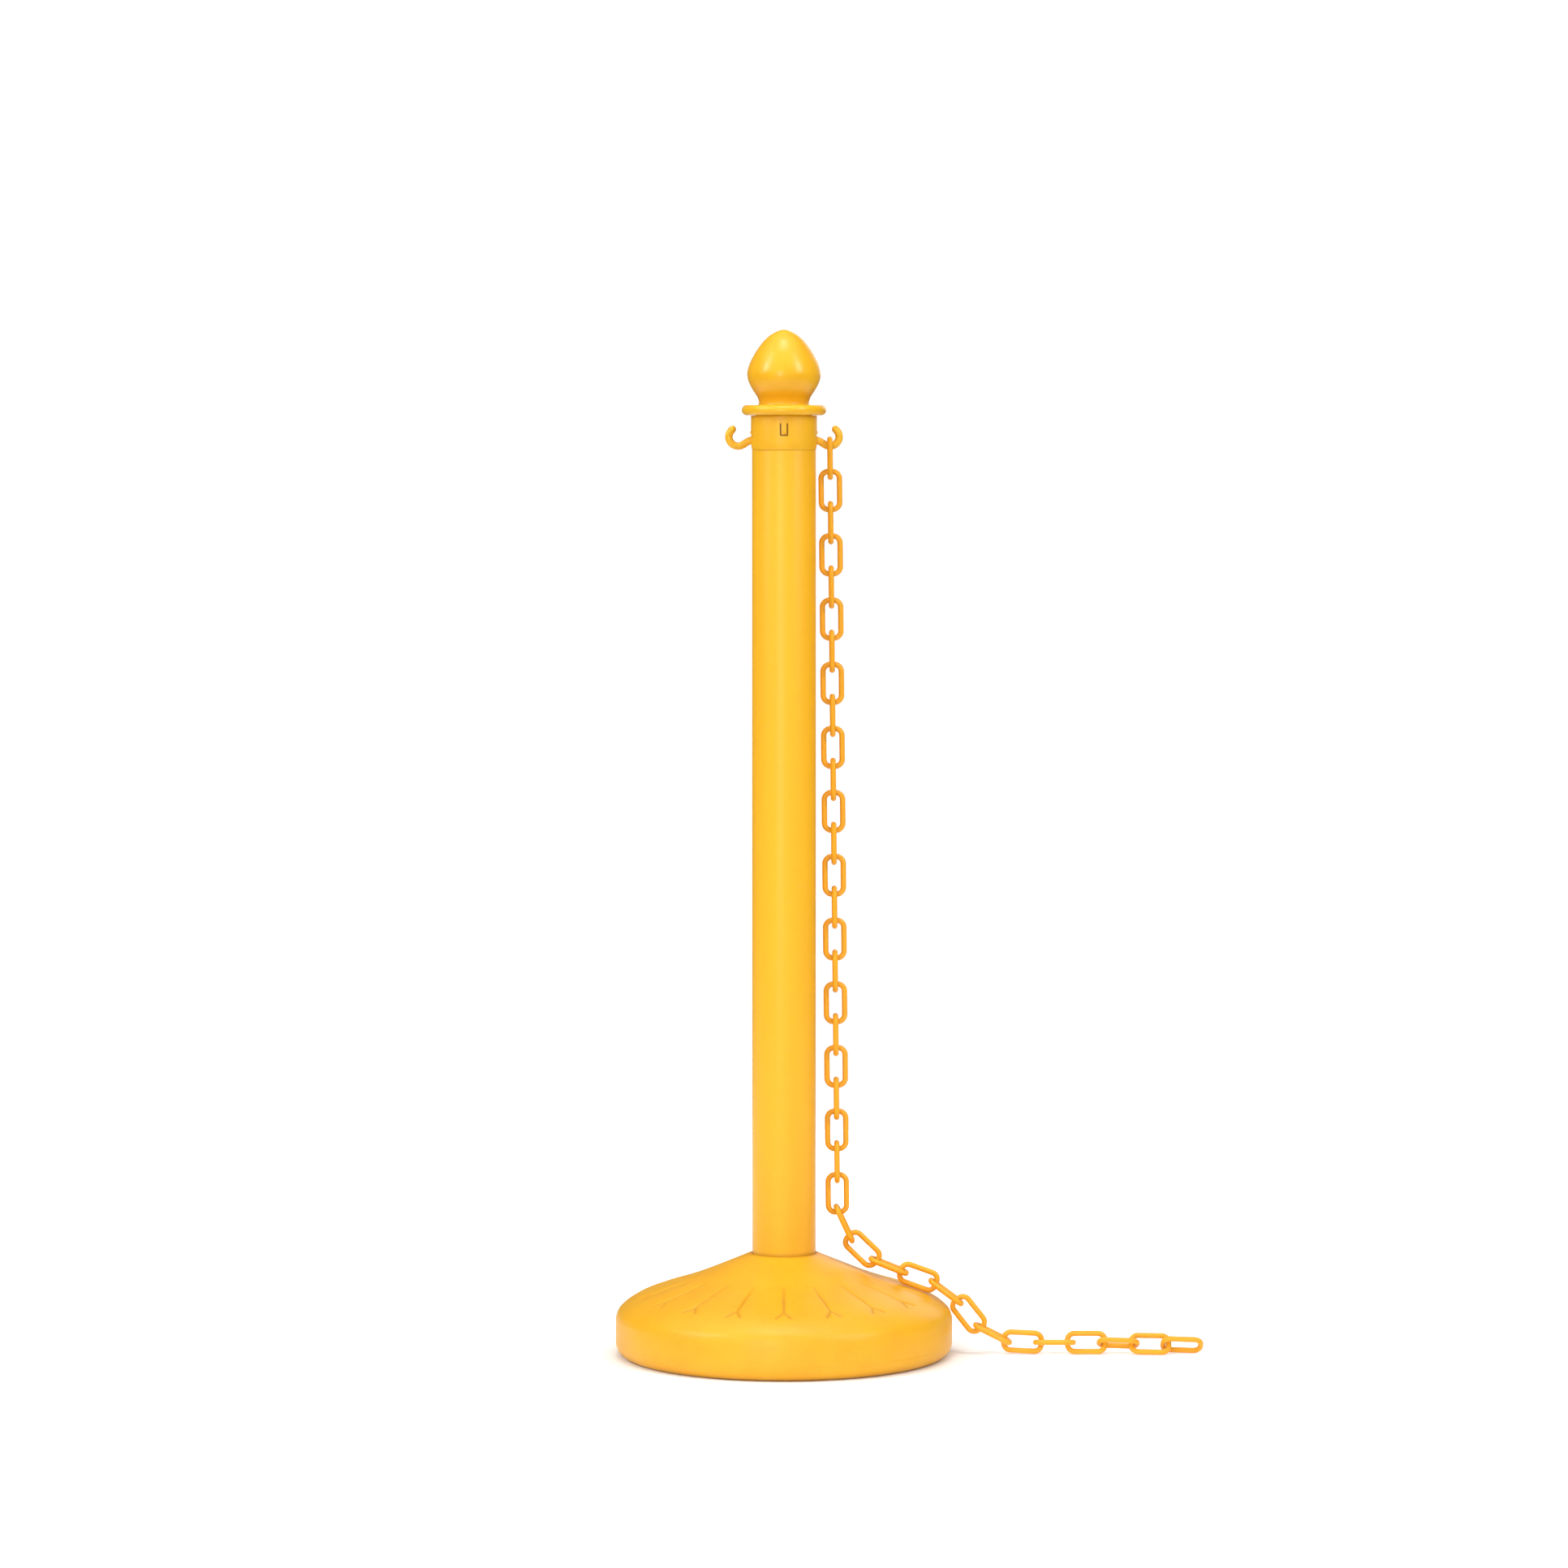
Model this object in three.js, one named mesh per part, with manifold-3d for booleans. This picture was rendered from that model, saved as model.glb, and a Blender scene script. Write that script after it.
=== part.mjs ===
// Plastic chain stanchion: a hollow moulded base, a two-inch hollow post, a hook collar with two
// C-hooks, a ball finial and one metre of plastic chain hung from one hook.
// Millimetres, +Z up. The origin is the centre of the flat underside of the base. The hooks lie
// along X, and the chain hangs from the +X hook, crosses the base and ends on the ground.
import * as THREE from 'three';
import { mergeVertices } from 'three/addons/utils/BufferGeometryUtils.js';
import Module from 'manifold-3d';

const wasm = await Module();
wasm.setup();

// ---- driving dimensions ---------------------------------------------------------------------
const FIT_GAP = 0.3; // clearance kept between pieces that touch

const BASE_RADIUS = 142.5;
const BASE_WALL = 3.2;
const FOOT_RADIUS = 12; // rounding where the upright rim meets the underside
const RIM_TOP = 32; // height at which the upright rim rolls over into the dome
const MOUTH_RADIUS = 28.6;
const MOUTH_TOP = 87;
const SOCKET_FLOOR = 4;

const POST_RADIUS = 26.8;
const POST_BORE = 24.0;
const POST_NECK_RADIUS = 25.4; // the top of the post is stepped down to take the collar
const POST_SHOULDER = 765.3;
const POST_TOP = 790;

const COLLAR_RADIUS = 27.7;
const COLLAR_TOP = 794.1;
const TAB_WIDTH = 7;
const TAB_BOTTOM = 777;
const TAB_TOP = 787.6;
const TAB_SLIT = 0.9;
const TAB_BUMP_RADIUS = 1.3;

const HOOK_ROD_RADIUS = 3.15;
const HOOK_RADIUS = 7.75; // to the middle of the rod
const HOOK_CENTRE = { out: 38.5, up: 776.3 };
const HOOK_SHANK_UP = 773.5;
const HOOK_SHANK_END = 22.8;
const HOOK_TIP_ANGLE = 76; // degrees, from straight outwards towards straight up

const FLANGE_RADIUS = 35.4;
const FLANGE_BOTTOM = 794.4;
const FLANGE_TOP = 802.9;
const SPIGOT_RADIUS = 23.7;
const SPIGOT_BOTTOM = 780.3;
const FINIAL_TOP = 866;
const FINIAL_WALL = 2.4;

const PLUG_OFFSET = 88; // from the middle of the base, along +Y
const PLUG_STEM_RADIUS = 10.6;
const PLUG_HEAD_RADIUS = 16;
const PLUG_HEAD_BOTTOM = 0.5;
const PLUG_HEAD_TOP = 3.3;
const PLUG_STEM_TOP = 13;
const PLUG_POCKET_DEPTH = 5;
const PLUG_BOSS_TOP = 10;
const COIN_SLOT = { length: 18, width: 3, top: 2 };
const SEAL_THICKNESS = 1.1;

const LINK_COUNT = 37;
const LINK_BAR_RADIUS = 2.3;
const LINK_INNER_LENGTH = 27.3;
const LINK_OUTER_WIDTH = 20;
const LINK_CORNER_RADIUS = 6; // to the middle of the bar
const HANGING_LINKS = 24;
const HANGING_LEAN = 0.6; // degrees away from the post
// Slope of each link below the hanging run, in degrees below level: round the foot of the post,
// down the dome, over the rim and on to the ground.
const RESTING_SLOPES = [65, 44, 22, 20, 37, 52, 27, 3, 0, 0, 2, 1, 2];
const ROLLED_LINKS = 5; // the last links, which lie on the ground and roll over little by little
const GROUND_ROLL = 9; // degrees of twist that each of them adds

const ROUND_SEGMENTS = 48;

// ---- small helpers --------------------------------------------------------------------------
const radians = THREE.MathUtils.degToRad;

/** Turns a closed three.js geometry into a manifold solid. */
function toSolid(geometry) {
  const bare = geometry.clone();
  bare.deleteAttribute('normal');
  bare.deleteAttribute('uv');
  const merged = mergeVertices(bare, 1e-4);
  return new wasm.Manifold(new wasm.Mesh({
    numProp: 3,
    vertProperties: Float32Array.from(merged.attributes.position.array),
    triVerts: Uint32Array.from(merged.index.array),
  }));
}

/** Turns a manifold solid back into a three.js geometry. */
function toGeometry(solid) {
  const mesh = solid.getMesh();
  const geometry = new THREE.BufferGeometry();
  geometry.setAttribute('position', new THREE.BufferAttribute(mesh.vertProperties, 3));
  geometry.setIndex(new THREE.BufferAttribute(mesh.triVerts, 1));
  return geometry;
}

/** A solid of revolution about Z from [radius, height] pairs, listed from low to high outside. */
function revolve(profile, segments = ROUND_SEGMENTS) {
  const points = profile.map(([radius, height]) => new THREE.Vector2(radius, height));
  return new THREE.LatheGeometry(points, segments).rotateX(Math.PI / 2);
}

/** An upright cylinder between two heights, at a place in plan. */
function uprightCylinder(radius, bottom, top, x = 0, y = 0, segments = ROUND_SEGMENTS) {
  const geometry = new THREE.CylinderGeometry(radius, radius, top - bottom, segments);
  return geometry.rotateX(Math.PI / 2).translate(x, y, (top + bottom) / 2);
}

/** A cylinder along X between two places, at a height. */
function crossCylinder(radius, from, to, height, segments = 20) {
  const geometry = new THREE.CylinderGeometry(radius, radius, to - from, segments);
  return geometry.rotateZ(Math.PI / 2).translate((from + to) / 2, 0, height);
}

/** Points of an arc in a profile, as [radius, height] pairs, angles in degrees. */
function arc(centreRadius, centreHeight, size, fromAngle, toAngle, steps) {
  const points = [];
  for (let i = 0; i <= steps; i += 1) {
    const angle = radians(fromAngle + ((toAngle - fromAngle) * i) / steps);
    points.push([centreRadius + size * Math.cos(angle), centreHeight + size * Math.sin(angle)]);
  }
  return points;
}

/** Points of a smooth curve through a few [radius, height] pairs. */
function smooth(pairs, steps) {
  const curve = new THREE.SplineCurve(pairs.map(([x, y]) => new THREE.Vector2(x, y)));
  return curve.getPoints(steps).map((point) => [point.x, point.y]);
}

function plastic(color, roughness = 0.42) {
  return new THREE.MeshStandardMaterial({ color, roughness, metalness: 0 });
}

function part(name, geometry, material) {
  const mesh = new THREE.Mesh(geometry, material);
  mesh.name = name;
  return mesh;
}

// ---- base -----------------------------------------------------------------------------------
/** The dome line, from the top of the rim up to the mouth, moved inwards by a wall thickness. */
function domeLine(inset) {
  const line = [
    [BASE_RADIUS - inset, RIM_TOP],
    [139.2 - inset * 0.9, 39.6 - inset * 0.5],
    [127 - inset * 0.4, 48.6 - inset],
    [105, 57.3 - inset],
    [80, 65.6 - inset],
    [51, 77.4 - inset],
  ];
  return inset === 0 ? [...line, [MOUTH_RADIUS, MOUTH_TOP]] : line;
}

function baseShell() {
  const foot = arc(BASE_RADIUS - FOOT_RADIUS, FOOT_RADIUS, FOOT_RADIUS, -90, 0, 4);
  const outside = revolve([[0, 0], ...foot, ...smooth(domeLine(0), 11), [0, MOUTH_TOP]]);
  const innerFoot = arc(
    BASE_RADIUS - FOOT_RADIUS, FOOT_RADIUS, FOOT_RADIUS - BASE_WALL, -90, 0, 2,
  );
  const socketWall = MOUTH_RADIUS + 2;
  const hollow = revolve([
    [socketWall, BASE_WALL], ...innerFoot, ...smooth(domeLine(BASE_WALL), 6),
    [socketWall, 82], [socketWall, BASE_WALL],
  ], 32);
  const boss = uprightCylinder(PLUG_HEAD_RADIUS + 5, 0, PLUG_BOSS_TOP, 0, PLUG_OFFSET, 24);
  const pocketRadius = PLUG_HEAD_RADIUS + 0.6;
  const pocket = uprightCylinder(pocketRadius, -1, PLUG_POCKET_DEPTH, 0, PLUG_OFFSET, 32);
  const fillHole = uprightCylinder(PLUG_STEM_RADIUS + 0.35, -1, 20, 0, PLUG_OFFSET, 32);
  const socket = uprightCylinder(POST_RADIUS + FIT_GAP, SOCKET_FLOOR, 100);
  const shell = toSolid(outside)
    .subtract(toSolid(hollow).subtract(toSolid(boss)))
    .subtract(toSolid(pocket))
    .subtract(toSolid(fillHole))
    .subtract(toSolid(socket));
  return part('base_shell', toGeometry(shell), plastic(0xffc234));
}

function fillPlug() {
  const head = revolve([
    [0, PLUG_HEAD_BOTTOM], [PLUG_HEAD_RADIUS - 0.8, PLUG_HEAD_BOTTOM],
    [PLUG_HEAD_RADIUS, PLUG_HEAD_BOTTOM + 0.8], [PLUG_HEAD_RADIUS, PLUG_HEAD_TOP],
    [PLUG_STEM_RADIUS, PLUG_HEAD_TOP], [PLUG_STEM_RADIUS, PLUG_STEM_TOP - 1],
    [PLUG_STEM_RADIUS - 1, PLUG_STEM_TOP], [0, PLUG_STEM_TOP],
  ], 32).translate(0, PLUG_OFFSET, 0);
  const coinSlot = new THREE.BoxGeometry(COIN_SLOT.length, COIN_SLOT.width, COIN_SLOT.top * 2);
  coinSlot.translate(0, PLUG_OFFSET, 0);
  const plug = toSolid(head).subtract(toSolid(coinSlot));
  return part('fill_plug', toGeometry(plug), plastic(0x2b2b2b, 0.5));
}

function plugSeal() {
  const inner = PLUG_STEM_RADIUS + 0.5;
  const outer = PLUG_HEAD_RADIUS - 0.6;
  const bottom = PLUG_HEAD_TOP + FIT_GAP;
  const top = bottom + SEAL_THICKNESS;
  const ring = revolve([
    [inner, bottom], [outer, bottom], [outer, top], [inner, top], [inner, bottom],
  ], 32).translate(0, PLUG_OFFSET, 0);
  return part('plug_seal', ring, plastic(0x1a1a1a, 0.85));
}

// ---- post, collar and hooks -----------------------------------------------------------------
function hookHoles(solid) {
  const radius = HOOK_ROD_RADIUS + 0.35;
  const right = toSolid(crossCylinder(radius, 20, 35, HOOK_SHANK_UP));
  const left = toSolid(crossCylinder(radius, -35, -20, HOOK_SHANK_UP));
  return solid.subtract(right).subtract(left);
}

function postTube() {
  const bottom = SOCKET_FLOOR + FIT_GAP;
  const tube = revolve([
    [POST_BORE, bottom], [POST_RADIUS, bottom], [POST_RADIUS, POST_SHOULDER],
    [POST_NECK_RADIUS, POST_SHOULDER], [POST_NECK_RADIUS, POST_TOP], [POST_BORE, POST_TOP],
    [POST_BORE, bottom],
  ]);
  return part('post_tube', toGeometry(hookHoles(toSolid(tube))), plastic(0xfdb52b));
}

/** The U-shaped slit that frees one snap tab, cut on the +X side: the tab hangs from its top. */
function tabSlit() {
  const middle = COLLAR_RADIUS - 1;
  const height = TAB_TOP - TAB_BOTTOM;
  const side = (TAB_WIDTH - TAB_SLIT) / 2;
  const cutter = () => new THREE.BoxGeometry(8, TAB_SLIT, height);
  const left = cutter().translate(middle, -side, TAB_BOTTOM + height / 2);
  const right = cutter().translate(middle, side, TAB_BOTTOM + height / 2);
  const floor = new THREE.BoxGeometry(8, TAB_WIDTH, TAB_SLIT);
  floor.translate(middle, 0, TAB_BOTTOM + TAB_SLIT / 2);
  return toSolid(left).add(toSolid(right)).add(toSolid(floor));
}

function hookCollar() {
  const inside = POST_NECK_RADIUS + FIT_GAP;
  const bottom = POST_SHOULDER + FIT_GAP;
  const ring = revolve([
    [inside, bottom], [COLLAR_RADIUS - 0.4, bottom], [COLLAR_RADIUS, bottom + 0.4],
    [COLLAR_RADIUS, COLLAR_TOP], [inside, COLLAR_TOP], [inside, bottom],
  ]);
  let collar = hookHoles(toSolid(ring));
  for (let quarter = 0; quarter < 4; quarter += 1) {
    const turn = quarter * 90;
    const bump = new THREE.SphereGeometry(TAB_BUMP_RADIUS, 10, 6);
    bump.translate(COLLAR_RADIUS - 0.5, 0, TAB_BOTTOM + 3);
    collar = collar.subtract(tabSlit().rotate([0, 0, turn]));
    collar = collar.add(toSolid(bump).rotate([0, 0, turn]));
  }
  return part('hook_collar', toGeometry(collar), plastic(0xfcae22));
}

/** Middle line of the right-hand hook: a level shank, a dipping arm and a C open to the post. */
function hookLine() {
  const points = [
    new THREE.Vector3(HOOK_SHANK_END, 0, HOOK_SHANK_UP),
    new THREE.Vector3(26.6, 0, HOOK_SHANK_UP),
    new THREE.Vector3(30.2, 0, HOOK_SHANK_UP - 1.1),
  ];
  const bends = 10;
  for (let i = 0; i <= bends; i += 1) {
    const angle = radians(-126 + ((HOOK_TIP_ANGLE + 126) * i) / bends);
    points.push(new THREE.Vector3(
      HOOK_CENTRE.out + HOOK_RADIUS * Math.cos(angle), 0,
      HOOK_CENTRE.up + HOOK_RADIUS * Math.sin(angle),
    ));
  }
  return new THREE.CatmullRomCurve3(points, false, 'centripetal');
}

function cHook(name, turned) {
  const section = new THREE.Shape();
  section.absarc(0, 0, HOOK_ROD_RADIUS, 0, Math.PI * 2, false);
  const rod = new THREE.ExtrudeGeometry(section, {
    steps: 18, curveSegments: 5, bevelEnabled: false, extrudePath: hookLine(),
  });
  const hook = part(name, rod, plastic(0xfdb022));
  hook.rotation.z = turned ? Math.PI : 0;
  return hook;
}

// ---- finial ---------------------------------------------------------------------------------
/** Outline of the ball, from the neck up to the tip. */
function ballLine(inset) {
  return [
    [20.9 - inset, 805], [22.2 - inset, 809.4], [26.4 - inset, 816], [29.8 - inset, 823],
    [30.8 - inset, 829.5], [29.1 - inset, 836.6], [25.9 - inset, 843.4], [21.9 - inset, 850],
    [15.6, 857.8 - inset], [8.4, 863.2 - inset], [0, FINIAL_TOP - inset],
  ];
}

function finial() {
  const rim = (FLANGE_TOP - FLANGE_BOTTOM) / 2;
  const outside = [
    [SPIGOT_RADIUS - 2, SPIGOT_BOTTOM], [SPIGOT_RADIUS, SPIGOT_BOTTOM + 1.5],
    [SPIGOT_RADIUS, FLANGE_BOTTOM],
    ...arc(FLANGE_RADIUS - rim, FLANGE_BOTTOM + rim, rim, -90, 90, 6),
    [21.4, FLANGE_TOP],
    ...smooth(ballLine(0), 13),
  ];
  const inside = smooth(ballLine(FINIAL_WALL), 7).reverse();
  const profile = [...inside, [SPIGOT_RADIUS - 5, SPIGOT_BOTTOM], ...outside];
  return part('finial', revolve(profile, 36), plastic(0xfcb827, 0.36));
}

// ---- chain ----------------------------------------------------------------------------------
/** Middle line of one link in the XZ plane: a rectangle with round corners, long along Z. */
class LinkLoop extends THREE.Curve {
  constructor() {
    super();
    const halfWidth = LINK_OUTER_WIDTH / 2 - LINK_BAR_RADIUS - LINK_CORNER_RADIUS;
    const halfLength = LINK_INNER_LENGTH / 2 + LINK_BAR_RADIUS - LINK_CORNER_RADIUS;
    const cornerSteps = 2;
    this.stations = [];
    for (let corner = 0; corner < 4; corner += 1) {
      const sideways = corner === 0 || corner === 3 ? halfWidth : -halfWidth;
      const upwards = corner < 2 ? halfLength : -halfLength;
      for (let i = 0; i <= cornerSteps; i += 1) {
        const angle = radians(90 * (corner + i / cornerSteps));
        this.stations.push(new THREE.Vector3(
          sideways + LINK_CORNER_RADIUS * Math.cos(angle), 0,
          upwards + LINK_CORNER_RADIUS * Math.sin(angle),
        ));
      }
    }
  }

  getPoint(share) {
    const count = this.stations.length;
    const place = ((share % 1) + 1) % 1 * count;
    const start = Math.floor(place + 1e-9) % count;
    return this.stations[start].clone().lerp(this.stations[(start + 1) % count], place - start);
  }

  getPointAt(share) {
    return this.getPoint(share);
  }

  getTangentAt(share) {
    const step = 0.5 / this.stations.length;
    return this.getPoint(share + step).sub(this.getPoint(share - step)).normalize();
  }
}

/** Centre, heading and twist of every link, from the hook down to the free end. */
function chainLayout() {
  const pitch = LINK_INNER_LENGTH - FIT_GAP;
  const endToPivot = LINK_BAR_RADIUS + FIT_GAP / 2;
  const rodMiddle = HOOK_CENTRE.up - HOOK_RADIUS;
  const barMiddle = rodMiddle + HOOK_ROD_RADIUS + FIT_GAP + LINK_BAR_RADIUS;
  const pivot = new THREE.Vector3(HOOK_CENTRE.out, 0, barMiddle - endToPivot);
  const links = [];
  for (let index = 0; index < LINK_COUNT; index += 1) {
    const resting = index - HANGING_LINKS;
    const below = resting < 0 ? 90 - HANGING_LEAN : RESTING_SLOPES[resting];
    const heading = new THREE.Vector3(Math.cos(radians(below)), 0, -Math.sin(radians(below)));
    const grounded = Math.max(0, index - (LINK_COUNT - ROLLED_LINKS) + 1);
    links.push({
      heading,
      centre: pivot.clone().addScaledVector(heading, pitch / 2),
      twist: radians(grounded * GROUND_ROLL) + (index % 2 === 0 ? Math.PI / 2 : 0),
    });
    pivot.addScaledVector(heading, pitch);
  }
  return links;
}

function chain() {
  const group = new THREE.Group();
  const loop = new LinkLoop();
  const link = new THREE.TubeGeometry(loop, loop.stations.length, LINK_BAR_RADIUS, 8, true);
  chainLayout().forEach(({ heading, centre, twist }, index) => {
    const number = String(index + 1).padStart(2, '0');
    const mesh = part(`chain_link_${number}`, link, plastic(0xf7a51c, 0.4));
    const upwards = heading.clone().negate();
    const across = new THREE.Vector3(0, 1, 0).cross(upwards).applyAxisAngle(upwards, twist);
    const through = upwards.clone().cross(across);
    mesh.quaternion.setFromRotationMatrix(new THREE.Matrix4().makeBasis(across, through, upwards));
    mesh.position.copy(centre);
    group.add(mesh);
  });
  return group;
}

// ---- the whole stanchion --------------------------------------------------------------------
const stanchion = new THREE.Group();
stanchion.add(baseShell(), fillPlug(), plugSeal(), postTube(), hookCollar());
stanchion.add(cHook('c_hook_right', false), cHook('c_hook_left', true), finial(), chain());

export default stanchion;
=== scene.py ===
"""Looks of a moulded plastic chain stanchion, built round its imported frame.

Every piece is in metres, in the frame's own axes: +Z up, the hooks along X, the front along -Y.
"""

import logging
import math
from dataclasses import dataclass, field
from enum import Enum
from typing import Any, Callable, Iterable, Sequence

import bmesh
import bpy
import numpy as np
from mathutils import Euler, Matrix, Vector
from mathutils.geometry import delaunay_2d_cdt


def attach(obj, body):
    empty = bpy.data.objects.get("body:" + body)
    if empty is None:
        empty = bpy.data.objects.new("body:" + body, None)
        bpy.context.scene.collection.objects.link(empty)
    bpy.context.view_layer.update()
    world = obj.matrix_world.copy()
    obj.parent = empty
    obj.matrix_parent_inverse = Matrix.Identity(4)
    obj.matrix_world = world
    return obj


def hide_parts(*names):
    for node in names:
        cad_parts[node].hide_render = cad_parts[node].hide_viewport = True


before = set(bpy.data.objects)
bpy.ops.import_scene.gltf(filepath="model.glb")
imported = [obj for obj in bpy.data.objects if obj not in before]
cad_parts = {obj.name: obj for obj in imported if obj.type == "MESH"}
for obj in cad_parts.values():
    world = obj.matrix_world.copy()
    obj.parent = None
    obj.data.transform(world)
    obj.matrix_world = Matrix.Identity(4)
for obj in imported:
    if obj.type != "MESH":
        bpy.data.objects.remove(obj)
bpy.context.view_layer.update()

log = logging.getLogger("stanchion")
MM = 0.001
Pair = tuple[float, float]
Triple = tuple[float, float, float]


# ---- node trees ----
def overload(operation: str, reflected: bool = False) -> Callable[["Value", Any], "Value"]:
    """Makes one of Value's operators out of a Math node.

    Args:
        operation: The node's operation.
        reflected: Whether the plain number stands on the left.

    Returns:
        The operator's method.
    """

    def operator(self: "Value", other: Any) -> "Value":
        """Adds the node and returns its result."""
        return self.graph.maths(operation, *((other, self) if reflected else (self, other)))

    return operator


class Value:
    """A number socket of a node tree that takes part in Python arithmetic."""

    def __init__(self, graph: "NodeGraph", socket: bpy.types.NodeSocket) -> None:
        """Keeps the graph and the socket that the value comes out of."""
        self.graph = graph
        self.socket = socket

    __add__, __radd__ = overload("ADD"), overload("ADD", reflected=True)
    __sub__, __rsub__ = overload("SUBTRACT"), overload("SUBTRACT", reflected=True)
    __mul__, __rmul__ = overload("MULTIPLY"), overload("MULTIPLY", reflected=True)
    __truediv__, __rtruediv__ = overload("DIVIDE"), overload("DIVIDE", reflected=True)

    def __abs__(self) -> "Value":
        """Size without sign."""
        return self.graph.maths("ABSOLUTE", self)

    def lower_of(self, other: Any) -> "Value":
        """The smaller of two values."""
        return self.graph.maths("MINIMUM", self, other)

    def above(self, limit: float) -> "Value":
        """1 where the value is over a limit, otherwise 0."""
        return self.graph.maths("GREATER_THAN", self, limit)

    def between(self, low: Any, high: Any) -> "Value":
        """The value held between two others."""
        return self.graph.maths("MINIMUM", self.graph.maths("MAXIMUM", self, low), high)

    def ramp(self, start: float, end: float, low: float = 0.0, high: float = 1.0) -> "Value":
        """Smooth step of the value.

        Args:
            start: Value at which the result is low.
            end: Value at which the result is high.
            low: Result before start.
            high: Result after end.

        Returns:
            The stepped value.
        """
        node = self.graph.node(
            "ShaderNodeMapRange",
            {"interpolation_type": "SMOOTHSTEP"},
            {"Value": self, 1: start, 2: end, 3: low, 4: high},
        )
        return Value(self.graph, node.outputs[0])


class NodeGraph:
    """Adds nodes and links to one node tree."""

    def __init__(self, tree: bpy.types.NodeTree) -> None:
        """Keeps the tree that the nodes go into."""
        self.tree = tree

    def node(
        self,
        kind: str,
        settings: dict[str, Any] | None = None,
        sockets: dict[str | int, Any] | None = None,
    ) -> bpy.types.Node:
        """Adds one node, sets it up and feeds its sockets.

        Args:
            kind: Type name of the node.
            settings: Properties of the node, set first.
            sockets: Numbers or links for its inputs, by name or index.

        Returns:
            The new node.
        """
        made = self.tree.nodes.new(kind)
        for name, setting in (settings or {}).items():
            setattr(made, name, setting)
        for key, feed in (sockets or {}).items():
            self.feed(made.inputs[key], feed)
        return made

    def feed(self, socket: bpy.types.NodeSocket, feed: Any) -> None:
        """Links a socket to a value or another socket, or sets it to a constant.

        Args:
            socket: Input to feed.
            feed: A Value, an output socket or a constant.
        """
        source = feed.socket if isinstance(feed, Value) else feed
        if isinstance(source, bpy.types.NodeSocket):
            self.tree.links.new(source, socket)
        else:
            socket.default_value = source

    def maths(self, operation: str, *values: Any) -> Value:
        """One Math node's result for up to three values."""
        node = self.node("ShaderNodeMath", {"operation": operation}, dict(enumerate(values)))
        return Value(self, node.outputs[0])

    def parts(self, vector: bpy.types.NodeSocket) -> tuple[Value, Value, Value]:
        """The three numbers of a vector socket."""
        node = self.node("ShaderNodeSeparateXYZ", None, {0: vector})
        return Value(self, node.outputs[0]), Value(self, node.outputs[1]), Value(self, node.outputs[2])

    def length(self, first: Value, second: Value) -> Value:
        """Length of a flat vector from its two numbers."""
        return self.maths("SQRT", first * first + second * second)


class ShaderGraph(NodeGraph):
    """Node tree of one material, with the textures that the finishes use."""

    def __init__(self, name: str) -> None:
        """Starts an empty material of that name."""
        self.material = bpy.data.materials.new(name)
        self.material.use_nodes = True
        super().__init__(self.material.node_tree)
        self.tree.nodes.clear()
        self.place = self.node("ShaderNodeTexCoord").outputs["Object"]

    def stretched(self, scale: Triple) -> bpy.types.NodeSocket:
        """Object coordinates scaled by a different amount along each axis."""
        return self.node("ShaderNodeMapping", None, {"Vector": self.place, "Scale": scale}).outputs[0]

    def attribute(self, name: str) -> Value:
        """A number stored on the piece's own mesh."""
        node = self.node("ShaderNodeAttribute", {"attribute_name": name})
        return Value(self, node.outputs["Fac"])

    def noise(self, scale: float, detail: float = 2.0, vector: Any = None) -> Value:
        """Cloudy noise from 0 to 1.

        Args:
            scale: Patches per metre.
            detail: Octaves of finer noise.
            vector: Coordinates, or None for the object's own.

        Returns:
            The noise value.
        """
        sockets = {"Vector": vector or self.place, "Scale": scale, "Detail": detail}
        return Value(self, self.node("ShaderNodeTexNoise", None, sockets).outputs[0])

    def mix(self, factor: Any, first: Any, second: Any) -> bpy.types.NodeSocket:
        """Blend of two colours.

        Args:
            factor: Share of the second colour.
            first: Triple or colour socket.
            second: Triple or colour socket.

        Returns:
            The blended colour.
        """
        settings = {"data_type": "RGBA", "blend_type": "MIX"}
        colours = {
            key: (*colour, 1.0) if isinstance(colour, tuple) else colour
            for key, colour in ((6, first), (7, second))
        }
        return self.node("ShaderNodeMix", settings, {0: factor, **colours}).outputs[2]

    def bumped(self, height: Value) -> bpy.types.NodeSocket:
        """Normal of a surface that stands up by a height in metres."""
        sockets = {"Distance": 1.0, "Strength": 1.0, "Height": height}
        return self.node("ShaderNodeBump", None, sockets).outputs[0]

    def finish(self, **surface: Any) -> bpy.types.Material:
        """Closes the tree with one principled surface.

        Args:
            surface: Feeds of the surface's sockets, with _ for a space in a name.

        Returns:
            The finished material.
        """
        sockets = {name.replace("_", " "): feed for name, feed in surface.items()}
        shader = self.node("ShaderNodeBsdfPrincipled", None, sockets)
        self.node("ShaderNodeOutputMaterial", None, {"Surface": shader.outputs[0]})
        return self.material


def placed(name: str, data: bpy.types.ID) -> bpy.types.Object:
    """Puts an object with that name and data in the scene.

    Args:
        name: Name of the object.
        data: Its mesh, lamp or camera data.

    Returns:
        The object.
    """
    made = bpy.data.objects.new(name, data)
    bpy.context.scene.collection.objects.link(made)
    return made


def freeze(piece: bpy.types.Object) -> None:
    """Turns what a piece's modifiers make of it into its own plain mesh.

    Args:
        piece: The piece, which loses its modifiers.
    """
    evaluated = piece.evaluated_get(bpy.context.evaluated_depsgraph_get())
    mesh = bpy.data.meshes.new_from_object(evaluated)
    piece.modifiers.clear()
    piece.data = mesh
    mesh.name = piece.name


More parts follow.
